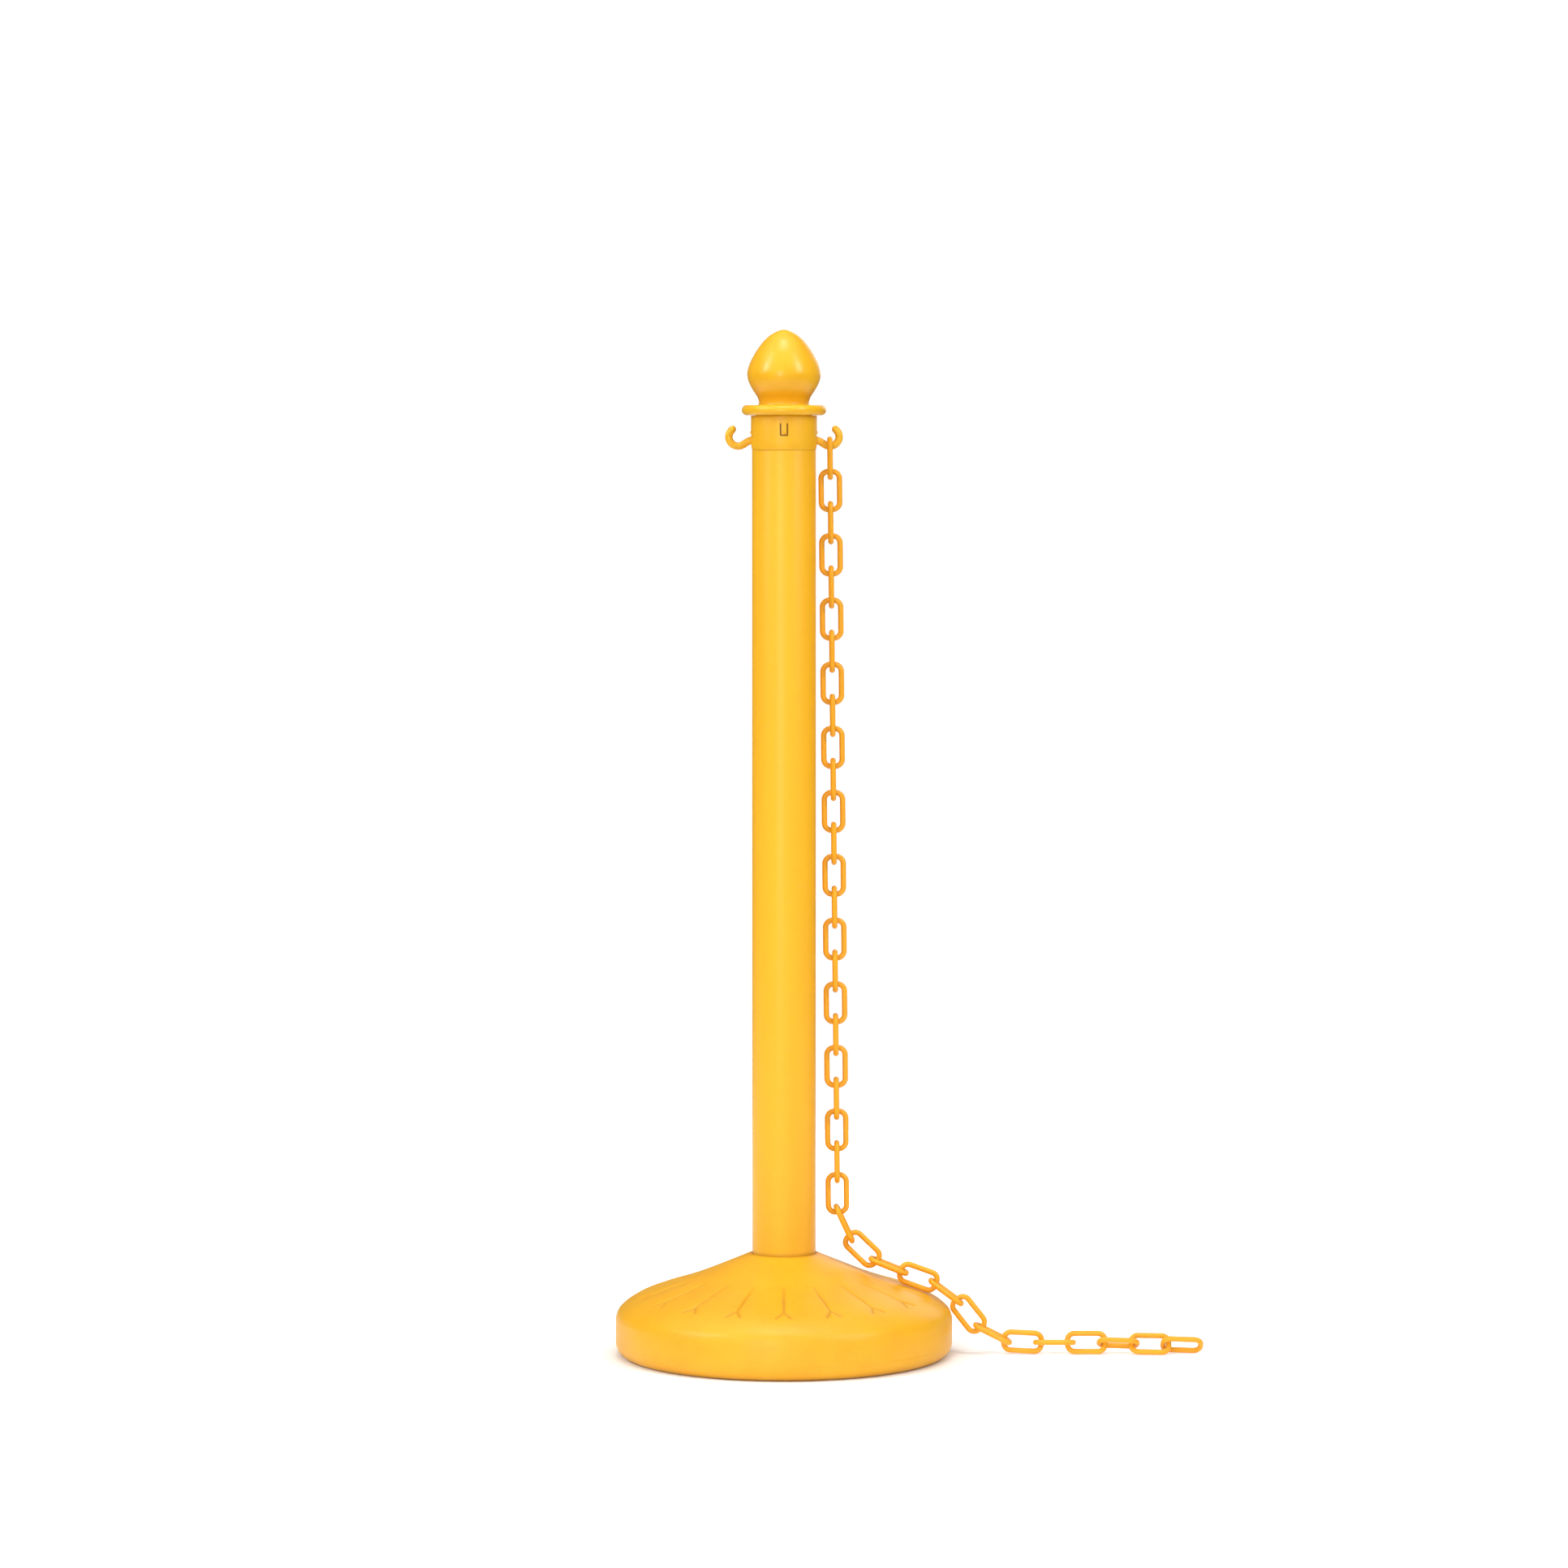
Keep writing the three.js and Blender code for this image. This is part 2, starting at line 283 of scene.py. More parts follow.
class GeometryRule(NodeGraph):
    """Geometry node tree with named inputs, which grows plain meshes."""

    def __init__(self, name: str) -> None:
        """Starts a tree with a geometry input, a geometry output and a material input."""
        super().__init__(bpy.data.node_groups.new(name, "GeometryNodeTree"))
        self.tree.interface.new_socket("Geometry", in_out="OUTPUT", socket_type="NodeSocketGeometry")
        self.tree.interface.new_socket("Geometry", in_out="INPUT", socket_type="NodeSocketGeometry")
        self.tree.interface.new_socket("Material", in_out="INPUT", socket_type="NodeSocketMaterial")
        self.entry = self.node("NodeGroupInput")

    def size(self, name: str) -> Value:
        """Adds a named number input and returns its value."""
        self.tree.interface.new_socket(name, in_out="INPUT", socket_type="NodeSocketFloat")
        return Value(self, self.entry.outputs[name])

    def vector(self, name: str) -> bpy.types.NodeSocket:
        """Adds a named vector input and returns its socket."""
        self.tree.interface.new_socket(name, in_out="INPUT", socket_type="NodeSocketVector")
        return self.entry.outputs[name]

    def mark(self, geometry: bpy.types.NodeSocket, name: str, number: Any) -> bpy.types.NodeSocket:
        """Stores a number on every point, for the finish to read.

        Args:
            geometry: The shape to mark.
            name: Name of the attribute.
            number: Its value at each point.

        Returns:
            The marked shape.
        """
        return self.node(
            "GeometryNodeStoreNamedAttribute", {"data_type": "FLOAT", "domain": "POINT"},
            {"Geometry": geometry, "Name": name, "Value": number},
        ).outputs[0]

    def close(self, geometry: bpy.types.NodeSocket) -> None:
        """Ends the tree in Realize Instances and Set Material.

        Args:
            geometry: The shape to hand out.
        """
        real = self.node("GeometryNodeRealizeInstances", None, {"Geometry": geometry})
        sockets = {"Geometry": real.outputs[0], "Material": self.entry.outputs["Material"]}
        dressed = self.node("GeometryNodeSetMaterial", None, sockets)
        self.node("NodeGroupOutput", None, {"Geometry": dressed.outputs[0]})

    def grow(
        self, name: str, inputs: dict[str, Any], start: bpy.types.Mesh | None = None
    ) -> bpy.types.Object:
        """Runs the tree once and keeps its result as a plain mesh object.

        Args:
            name: Name of the new piece.
            inputs: Values of the tree's named inputs.
            start: Mesh that the tree works on, if it needs one.

        Returns:
            The piece, with no modifier left on it.
        """
        piece = placed(name, start or bpy.data.meshes.new(name))
        modifier = piece.modifiers.new(self.tree.name, "NODES")
        modifier.node_group = self.tree
        for item in self.tree.interface.items_tree:
            if item.in_out == "INPUT" and item.name in inputs:
                modifier[item.identifier] = inputs[item.name]
        freeze(piece)
        return piece


# ---- finishes ----
class MouldLine(Enum):
    """Where the two halves of a mould met on a piece."""

    NONE = "none"
    FRONT_PLANE = "upright plane through the hooks"
    RING = "level ring"
    OWN_PLANE = "the piece's own middle plane"


def scaled(colour: Triple, share: float) -> Triple:
    """A colour made darker."""
    return tuple(share * part for part in colour)


@dataclass(frozen=True)
class PaintedShadeBand:
    """Level band of painted shade on a piece. Sizes in metres."""

    bottom: float
    top: float
    blur: float
    strength: float

    def mask(self, up: Value) -> Value:
        """Share of painted shade at a height."""
        rise = up.ramp(self.bottom - self.blur, self.bottom, 0.0, self.strength)
        return rise * up.ramp(self.top, self.top + self.blur, 1.0, 0.0)


@dataclass(frozen=True)
class MouldedPlastic:
    """Satin polyethylene straight from the mould."""

    name: str
    colour: Triple
    shade: Triple
    roughness: float = 0.40
    grain_per_metre: float = 900.0
    grain_height: float = 0.035 * MM
    waviness: float = 0.25 * MM
    wave_per_metre: float = 22.0
    mould_line: MouldLine = MouldLine.NONE
    mould_line_height: float = 0.12 * MM
    ring_up: float = 0.0
    drawn_upwards: bool = False
    scuffs: float = 0.5
    gloss: float = 0.40
    # Whether shade is painted into the creases and round the socket's mouth.
    paints_crease_shade: bool = False
    # Colour of the painted shade that the level bands below blend in.
    painted_shade_colour: Triple = (0.20, 0.065, 0.008)
    painted_shade_bands: tuple[PaintedShadeBand, ...] = ()

    def mould_ridge(self, graph: ShaderGraph) -> Value | None:
        """Height mask of the fine ridge left where the mould closed.

        Args:
            graph: Tree of the material.

        Returns:
            1 on the ridge falling to 0 beside it, or None without a mould line.
        """
        across, depth, up = graph.parts(graph.place)
        if self.mould_line is MouldLine.NONE:
            return None
        if self.mould_line is MouldLine.OWN_PLANE:
            offset = graph.attribute("off_plane")
        elif self.mould_line is MouldLine.RING:
            offset = up - self.ring_up
        else:
            offset = depth
        return abs(offset).ramp(0.05 * MM, 0.35 * MM, 1.0, 0.0)

    def material(self) -> bpy.types.Material:
        """Builds the node tree of this finish.

        Returns:
            The material.
        """
        graph = ShaderGraph(self.name)
        flow_place = graph.stretched((1.0, 1.0, 0.12 if self.drawn_upwards else 1.0))
        flow = graph.noise(28.0, 3.0, flow_place).ramp(0.36, 0.70)
        mottle = graph.noise(260.0, 2.0).ramp(0.42, 0.66)
        specks = graph.noise(1500.0, 1.0).ramp(0.735, 0.79)
        colour = graph.mix(flow * 0.34 + mottle * 0.10, self.colour, self.shade)
        colour = graph.mix(specks * 0.35, colour, scaled(self.shade, 0.55))

        scratch_place = graph.stretched((1.0, 1.0, 7.0))
        scratches = graph.noise(120.0, 4.0, scratch_place).ramp(0.62, 0.70)
        patches = graph.noise(9.0, 2.0).ramp(0.50, 0.72)
        scuffed = scratches * patches * self.scuffs
        pale = tuple(0.35 + part for part in scaled(self.colour, 0.65))
        colour = graph.mix(scuffed * 0.30, colour, pale)

        grain = graph.noise(self.grain_per_metre, 3.0)
        waves = graph.noise(self.wave_per_metre, 1.0, flow_place)
        height = grain * self.grain_height + waves * self.waviness - scuffed * (0.04 * MM)
        ridge = self.mould_ridge(graph)
        if ridge is not None:
            height = height + ridge * self.mould_line_height
            colour = graph.mix(ridge * 0.12, colour, self.shade)
        # Painted shade: darker colour in the dome's creases and round the socket's mouth, from the mask
        # that the crease tree stores.
        if self.paints_crease_shade:
            crease_shade = graph.attribute("crease_shade")
            colour = graph.mix(crease_shade * 0.80, colour, scaled(self.shade, 0.72))
        # Painted shade: each band darkens the colour where parts meet, standing in for shadow.
        for band in self.painted_shade_bands:
            colour = graph.mix(band.mask(graph.parts(graph.place)[2]), colour, self.painted_shade_colour)
        roughness = self.roughness + flow * 0.05 + (grain - 0.5) * 0.10 + scuffed * 0.22
        return graph.finish(
            Base_Color=colour,
            Roughness=roughness.between(0.05, 0.95),
            Normal=graph.bumped(height),
            IOR=1.50,
            Specular_IOR_Level=self.gloss,
        )


@dataclass(frozen=True)
class SealRubber:
    """Matt black rubber with a bloom of mould dust."""

    name: str
    colour: Triple = (0.012, 0.012, 0.013)
    dust: Triple = (0.10, 0.098, 0.09)
    grain_height: float = 0.05 * MM

    def material(self) -> bpy.types.Material:
        """Builds the node tree of this finish.

        Returns:
            The material.
        """
        graph = ShaderGraph(self.name)
        bloom = graph.noise(300.0, 4.0).ramp(0.45, 0.75)
        grain = graph.noise(2400.0, 2.0)
        return graph.finish(
            Base_Color=graph.mix(bloom * 0.35, self.colour, self.dust),
            Roughness=0.78 + bloom * 0.12,
            Normal=graph.bumped(grain * self.grain_height),
        )


YELLOW: Triple = (0.80, 0.415, 0.011)
AMBER: Triple = (0.76, 0.330, 0.006)
BASE_YELLOW: Triple = (0.755, 0.375, 0.010)
BASE_AMBER: Triple = (0.72, 0.302, 0.006)
CHAIN_YELLOW: Triple = (0.80, 0.345, 0.008)
CHARCOAL: Triple = (0.022, 0.022, 0.024)
SOOT: Triple = (0.012, 0.012, 0.013)


# ---- mesh building ----
def arc(centre: Pair, size: float, start: float, end: float, steps: int) -> list[Pair]:
    """Points of an arc in a profile.

    Args:
        centre: Radius and height of its middle, in millimetres.
        size: Its radius, in millimetres.
        start: First angle in degrees, from outwards towards up.
        end: Last angle in degrees.
        steps: Number of steps between them.

    Returns:
        The points, as radius and height.
    """
    angles = np.radians(np.linspace(start, end, steps + 1))
    return [(centre[0] + size * math.cos(a), centre[1] + size * math.sin(a)) for a in angles]


def rounded(corners: Sequence[tuple[float, float, float]], steps: int = 4) -> list[Pair]:
    """A profile whose corners are rounded.

    Args:
        corners: Radius, height and rounding of each corner, in millimetres.
        steps: Number of steps in each rounding.

    Returns:
        The profile's points, as radius and height.
    """
    points: list[Pair] = []
    for index, (radius, height, size) in enumerate(corners):
        if size <= 0 or index in (0, len(corners) - 1):
            points.append((radius, height))
            continue
        here = Vector((radius, height))
        before = (Vector(corners[index - 1][:2]) - here).normalized()
        after = (Vector(corners[index + 1][:2]) - here).normalized()
        half = before.angle(after) / 2
        reach = size / math.tan(half)
        middle = here + (before + after).normalized() * (size / math.sin(half))
        first, last = here + before * reach - middle, here + after * reach - middle
        for step in range(steps + 1):
            spoke = first.lerp(last, step / steps).normalized() * size
            points.append(tuple(middle + spoke))
    return points


def smooth_line(knots: Sequence[Sequence[float]], spacing: float) -> np.ndarray:
    """Evenly spaced points of a smooth curve through a few knots.

    Args:
        knots: Points to pass through, in two or three dimensions.
        spacing: Distance between the points that come out, in the knots' unit.

    Returns:
        One row for each point, both ends included.
    """
    known = np.array(knots, float)
    padded = np.vstack([known[:1], known, known[-1:]])
    fine = [known[0]]
    for a, b, c, d in zip(padded[:-3], padded[1:-2], padded[2:-1], padded[3:]):
        for t in np.linspace(0, 1, 41)[1:]:
            slope_in, slope_out = (c - a) / 2, (d - b) / 2
            fine.append(
                (2 * t**3 - 3 * t**2 + 1) * b
                + (t**3 - 2 * t**2 + t) * slope_in
                + (3 * t**2 - 2 * t**3) * c
                + (t**3 - t**2) * slope_out
            )
    fine = np.array(fine)
    travelled = np.concatenate([[0], np.cumsum(np.linalg.norm(np.diff(fine, axis=0), axis=1))])
    count = max(2, round(travelled[-1] / spacing) + 1)
    places = np.linspace(0, travelled[-1], count)
    return np.stack([np.interp(places, travelled, column) for column in fine.T], axis=1)


@dataclass
class Shape:
    """Points and faces of a mesh in the making, in millimetres."""

    points: list[Sequence[float]] = field(default_factory=list)
    faces: list[tuple[int, ...]] = field(default_factory=list)

    def join(self, low: Sequence[int], high: Sequence[int]) -> None:
        """Adds the faces between two closed rings of points, where a pole's corners count once."""
        for here, after in enumerate([*range(1, len(low)), 0]):
            self.faces.append(tuple(dict.fromkeys((low[here], low[after], high[after], high[here]))))

    def turn(
        self, profile: Iterable[Pair], angles: Sequence[float],
        centre: Pair = (0.0, 0.0), looped: bool = False,
    ) -> "Shape":
        """Adds a turned surface round an upright axis.

        Args:
            profile: Radius and height of each ring, where a radius of 0 closes a pole.
            angles: Angle of each column in radians, all the way round.
            centre: Place of the axis in plan.
            looped: Whether the last ring joins the first, as on a tube.

        Returns:
            This shape.
        """
        rings: list[list[int]] = []
        for radius, height in profile:
            if radius < 1e-6:
                self.points.append((centre[0], centre[1], height))
                rings.append([len(self.points) - 1] * len(angles))
                continue
            rings.append(list(range(len(self.points), len(self.points) + len(angles))))
            for angle in angles:
                x, y = radius * math.cos(angle), radius * math.sin(angle)
                self.points.append((centre[0] + x, centre[1] + y, height))
        for low, high in zip(rings, rings[1:] + rings[:1] if looped else rings[1:]):
            self.join(low, high)
        return self

    def plate_with_hole(
        self, rim: Sequence[Pair], hole: Sequence[Pair], height: float, middle: Pair, reach: float
    ) -> "Shape":
        """Adds a level plate between an outer loop and a round or smaller convex hole.

        Args:
            rim: Points of the outer loop, in plan.
            hole: Points of the hole, in plan.
            height: Height of the plate.
            middle: A point inside the hole.
            reach: Triangles whose middle is nearer to it than this, and inside the hole, go.

        Returns:
            This shape.
        """
        loop = [Vector(point) for point in hole]
        flat, _, triangles, *_ = delaunay_2d_cdt(
            [Vector(point) for point in rim] + loop,
            [(i, (i + 1) % len(rim)) for i in range(len(rim))]
            + [(len(rim) + i, len(rim) + (i + 1) % len(hole)) for i in range(len(hole))],
            [], 0, 1e-6,
        )
        start = len(self.points)
        self.points.extend((point.x, point.y, height) for point in flat)
        for triangle in triangles:
            centre = sum((flat[i] for i in triangle), Vector((0, 0))) / 3
            inside = (centre - Vector(middle)).length < reach and all(
                (b - a).cross(centre - a) > 0 for a, b in zip(loop, loop[1:] + loop[:1])
            )
            if not inside:
                self.faces.append(tuple(start + i for i in triangle))
        return self

    def walls(self, loop: Sequence[Pair], bottom: float, top: float, capped: bool = False) -> "Shape":
        """Adds upright walls on a loop.

        Args:
            loop: Points of the loop, in plan.
            bottom: Height of the walls' lower edge.
            top: Height of their upper edge.
            capped: Whether one face closes the top.

        Returns:
            This shape.
        """
        start, count = len(self.points), len(loop)
        self.points.extend((x, y, height) for height in (bottom, top) for x, y in loop)
        low, high = range(start, start + count), range(start + count, start + 2 * count)
        self.join(low, high)
        if capped:
            self.faces.append(tuple(high))
        return self

    def prism(self, outline: Sequence[Pair], near: float, far: float, quarter: int = 0) -> "Shape":
        """Adds a closed prism that points outwards along X, turned by quarters round Z.

        Args:
            outline: Sideways place and height of each corner.
            near: Distance of its inner end from the axis.
            far: Distance of its outer end.
            quarter: Number of quarter turns.

        Returns:
            This shape.
        """
        start, count = len(self.points), len(outline)
        turn = Matrix.Rotation(math.radians(90 * quarter), 3, "Z")
        for out in (near, far):
            self.points.extend(tuple(turn @ Vector((out, side, up))) for side, up in outline)
        low, high = range(start, start + count), range(start + count, start + 2 * count)
        self.join(low, high)
        self.faces.extend((tuple(reversed(low)), tuple(high)))
        return self

    def mesh(self, name: str) -> bpy.types.Mesh:
        """Turns the shape into a mesh in metres, welded and facing outwards.

        Args:
            name: Name of the mesh.

        Returns:
            The mesh.
        """
        mesh = bpy.data.meshes.new(name)
        mesh.from_pydata([tuple(MM * value for value in point) for point in self.points], [], self.faces)
        work = bmesh.new()
        work.from_mesh(mesh)
        bmesh.ops.remove_doubles(work, verts=work.verts, dist=0.002 * MM)
        bmesh.ops.recalc_face_normals(work, faces=work.faces)
        work.to_mesh(mesh)
        work.free()
        mesh.validate()
        return mesh


def columns(count: int) -> list[float]:
    """Evenly spread column angles, in radians, with one at straight outwards."""
    return [math.tau * i / count for i in range(count)]


def around(radius: float, angles: Sequence[float], centre: Pair = (0.0, 0.0)) -> list[Pair]:
    """Points round a centre at the given angles."""
    return [(centre[0] + radius * math.cos(a), centre[1] + radius * math.sin(a)) for a in angles]


def piece_from(mesh: bpy.types.Mesh) -> bpy.types.Object:
    """Puts a mesh in the scene under its own name."""
    return placed(mesh.name, mesh)


def cut(piece: bpy.types.Object, tool: Shape, operation: str) -> None:
    """Cuts a tool out of a piece, or joins it on, and keeps the result as a plain mesh.

    Args:
        piece: Piece to change.
        tool: Closed shape of the tool.
        operation: DIFFERENCE or UNION.
    """
    blade = piece_from(tool.mesh("tool"))
    modifier = piece.modifiers.new("cut", "BOOLEAN")
    modifier.operation, modifier.solver, modifier.object = operation, "EXACT", blade
    freeze(piece)
    bpy.data.objects.remove(blade)


def dress(
    piece: bpy.types.Object,
    body: str,
    nodes: Sequence[str],
    material: bpy.types.Material,
    sharp: float = 35.0,
) -> None:
    """Finishes a piece: shading, material, body and replaced nodes.

    Args:
        piece: The piece, in its final shape.
        body: Body that it rides on.
        nodes: Nodes that it stands for.
        material: Its material.
        sharp: Edges that turn by more than this many degrees stay sharp.
    """
    piece.data.shade_smooth()
    piece.data.set_sharp_from_angle(angle=math.radians(sharp))
    piece.data.materials.clear()
    piece.data.materials.append(material)
    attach(piece, body)
    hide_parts(*nodes)
    log.info("%s: %d faces on %s", piece.name, len(piece.data.polygons), body)


# ---- base ----
@dataclass
class Base:
    """Hollow domed base with a socket, its fill plug and the plug's seal. Sizes in millimetres."""

    radius: float = 142.5
    foot_radius: float = 12.0
    mouth_top: float = 87.0
    socket_radius: float = 27.1
    socket_floor: float = 4.0
    underside_radius: float = 118.0
    foot_step: tuple[Pair, ...] = ((119.0, 0.6), (120.4, 0.6), (121.4, 0.0))
    petals: int = 18
    dome: tuple[Pair, ...] = (
        (142.5, 32.0), (139.2, 39.6), (127.0, 48.6), (105.0, 57.3),
        (80.0, 65.6), (51.0, 77.4), (28.6, 87.0),
    )
    pocket_centre: Pair = (0.0, 88.0)
    pocket_radius: float = 16.6
    pocket_depth: float = 5.0
    fill_radius: float = 10.95
    fill_depth: float = 14.0
    plug_head: float = 16.0
    plug_face: float = 14.0
    plug_bottom: float = 0.5
    plug_head_top: float = 3.3
    plug_stem: float = 10.45
    plug_top: float = 13.0
    coin_slot: Pair = (9.0, 1.5)
    coin_slot_top: float = 2.4
    thread_pitch: float = 2.4
    thread_height: float = 0.38
    thread_bottom: float = 4.6
    thread_top: float = 12.2
    thread_fade: float = 0.8
    seal_radii: Pair = (11.1, 15.4)
    seal_heights: Pair = (3.6, 4.7)

    def petal_angles(self) -> list[float]:
        """Column angles, close together beside each crease and wider apart between them."""
        spacing = 360 / self.petals
        close = list(np.linspace(-4.0, 4.0, 21))
        offsets = [-8.5, -7.0, -5.5, *close, 5.5, 7.0, 8.5, spacing / 2]
        return [
            math.radians(-90 + spacing * petal + offset)
            for petal in range(self.petals)
            for offset in offsets
        ]

    def moulding(self) -> bpy.types.Mesh:
        """Plain turned moulding with the socket and the plug's pocket.

        Returns:
            The mesh, before its creases are pressed in.
        """
        angles = self.petal_angles()
        foot = arc((self.radius - self.foot_radius, self.foot_radius), self.foot_radius, -90, 0, 14)
        dome = [tuple(point) for point in smooth_line(self.dome, 1.15)]
        lip = rounded([
            (*dome[-2], 0), (*dome[-1], 0.9), (self.socket_radius, self.mouth_top, 0.5),
            (self.socket_radius, 60, 0), (self.socket_radius, self.socket_floor, 1.5),
            (0, self.socket_floor, 0),
        ], 3)
        profile = [(self.underside_radius, 0.0), *self.foot_step, *foot, *dome[:-1], *lip[1:]]
        shape = Shape().turn(profile, angles)
        rim = around(self.underside_radius, angles)
        edge = around(self.pocket_radius, columns(72), self.pocket_centre)
        shape.plate_with_hole(rim, edge, 0.0, self.pocket_centre, self.pocket_radius)
        pocket = rounded([
            (self.pocket_radius, 0, 0), (self.pocket_radius, self.pocket_depth, 1.0),
            (self.fill_radius, self.pocket_depth, 0.4), (self.fill_radius, self.fill_depth, 0),
            (0, self.fill_depth, 0),
        ], 3)
        return shape.turn(pocket, columns(72), self.pocket_centre).mesh("base_plain")

    def crease_rule(self) -> GeometryRule:
        """Tree that presses forked creases into the dome, one between each pair of petals, and stores a
        mask of painted shade in the creases and round the socket's mouth.

        Returns:
            The tree.
        """
        rule = GeometryRule("petal_creases")
        spacing, start, end = rule.size("Spacing"), rule.size("Stem start"), rule.size("Stem end")
        reach, spread = rule.size("Fork reach"), rule.size("Fork spread")
        depth, width = rule.size("Depth"), rule.size("Width")
        swell, lowest = rule.size("Petal swell"), rule.size("Lowest")
        x, y, z = rule.parts(rule.node("GeometryNodeInputPosition").outputs[0])
        radius = rule.length(x, y)
        turns = (rule.maths("ARCTAN2", y, x) + math.pi / 2) / spacing
        local = abs(turns - rule.maths("ROUND", turns))
        side = local * spacing * radius
        stem = rule.length(side, radius - radius.between(start, end))
        size = rule.length(reach, spread)
        out, over = reach / size, spread / size
        along = ((radius - end) * out + side * over).between(0.0, size)
        fork = rule.length(radius - end - along * out, side - along * over)
        nearest = stem.lower_of(fork) / width
        press = rule.maths("EXPONENT", 0.0 - nearest * nearest)
        deeper = radius.ramp(0.070, 0.100, 0.35, 1.0)
        belly = radius.ramp(0.060, 0.105) * radius.ramp(0.118, 0.133, 1.0, 0.0)
        puff = belly * (local * 2.0).ramp(0.05, 0.85) * swell
        lift = (puff - press * deeper * depth) * z.above(lowest)
        offset = rule.node("ShaderNodeCombineXYZ", None, {2: lift})
        # Painted shade: this mask darkens the colour in the creases and in a ring round the socket's mouth.
        mouth_shade = radius.ramp(0.0286, 0.0315, 0.6, 0.0)
        crease_and_mouth_shade = (press * deeper + mouth_shade) * z.above(lowest)
        marked = rule.mark(rule.entry.outputs["Geometry"], "crease_shade", crease_and_mouth_shade)
        moved = rule.node(
            "GeometryNodeSetPosition", None, {"Geometry": marked, "Offset": offset.outputs[0]}
        )
        rule.close(moved.outputs[0])
        return rule

    def build(
        self, plastic: bpy.types.Material, dark: bpy.types.Material, rubber: bpy.types.Material
    ) -> None:
        """Makes and dresses the base, its plug and the seal.

        Args:
            plastic: Material of the moulding.
            dark: Material of the plug.
            rubber: Material of the seal.
        """
        inputs = {
            "Material": plastic, "Spacing": math.tau / self.petals, "Stem start": 74 * MM,
            "Stem end": 114 * MM, "Fork reach": 8.5 * MM, "Fork spread": 6.2 * MM,
            "Depth": 1.0 * MM, "Width": 1.2 * MM, "Petal swell": 0.45 * MM, "Lowest": 30 * MM,
        }
        dome = self.crease_rule().grow("base_moulding", inputs, self.moulding())
        dress(dome, "root", ["base_shell"], plastic)
        dress(piece_from(self.plug()), "plug", ["fill_plug"], dark)
        dress(piece_from(self.seal()), "plug", ["plug_seal"], rubber)

    def seal(self) -> bpy.types.Mesh:
        """Flat ring with rounded edges.

        Returns:
            The mesh.
        """
        (inner, outer), (bottom, top) = self.seal_radii, self.seal_heights
        edge, seam = 0.45, 13.2
        ring = rounded([
            (seam, bottom, 0), (outer, bottom, edge), (outer, top, edge), (inner, top, edge),
            (inner, bottom, edge), (seam, bottom, 0),
        ])
        return Shape().turn(ring[:-1], columns(64), self.pocket_centre, looped=True).mesh("seal_ring")

    def plug(self) -> bpy.types.Mesh:
        """Fill plug with a coin slot across its head and a thread on its stem.

        Returns:
            The mesh.
        """
        angles, centre = columns(72), self.pocket_centre
        head = rounded([
            (self.plug_face, self.plug_bottom, 0), (self.plug_head, self.plug_bottom, 0.7),
            (self.plug_head, self.plug_head_top, 0.4), (self.plug_stem, self.plug_head_top, 0.2),
            (self.plug_stem, self.thread_bottom, 0),
        ], 3)
        shape = Shape().turn(head, angles, centre)
        face, slot = around(self.plug_face, angles, centre), self.slot_outline(*self.coin_slot)
        shape.plate_with_hole(face, slot, self.plug_bottom, centre, self.plug_head)
        shape.walls(slot, self.plug_bottom, self.coin_slot_top, capped=True)
        self.add_thread(shape, angles)
        tip = rounded([
            (self.plug_stem, self.thread_top, 0), (self.plug_stem, self.plug_top, 0.7),
            (0, self.plug_top, 0),
        ], 3)
        return shape.turn(tip, angles, centre).mesh("plug_moulding")

    def add_thread(self, shape: Shape, angles: Sequence[float]) -> None:
        """Adds the plug's threaded stem to its shape.

        Args:
            shape: The plug in the making.
            angles: Angle of each column in radians.
        """
        (middle_x, middle_y), bottom, top = self.pocket_centre, self.thread_bottom, self.thread_top
        below: Sequence[int] = ()
        for height in np.linspace(bottom, top, 39):
            fade = min(1.0, (height - bottom) / self.thread_fade, (top - height) / self.thread_fade)
            ring = range(len(shape.points), len(shape.points) + len(angles))
            for angle in angles:
                phase = ((height / self.thread_pitch - angle / math.tau) % 1.0) * 2 - 1
                radius = self.plug_stem + fade * self.thread_height * (1 - abs(phase))
                x, y = radius * math.cos(angle), radius * math.sin(angle)
                shape.points.append((middle_x + x, middle_y + y, height))
            if below:
                shape.join(below, ring)
            below = ring

    def slot_outline(self, half_length: float, half_width: float) -> list[Pair]:
        """Outline of the coin slot in plan, with round ends, anticlockwise."""
        x, y = self.pocket_centre
        reach = half_length - half_width
        right = arc((x + reach, y), half_width, -90, 90, 8)
        left = arc((x - reach, y), half_width, 90, 270, 8)
        return [*right, *left]


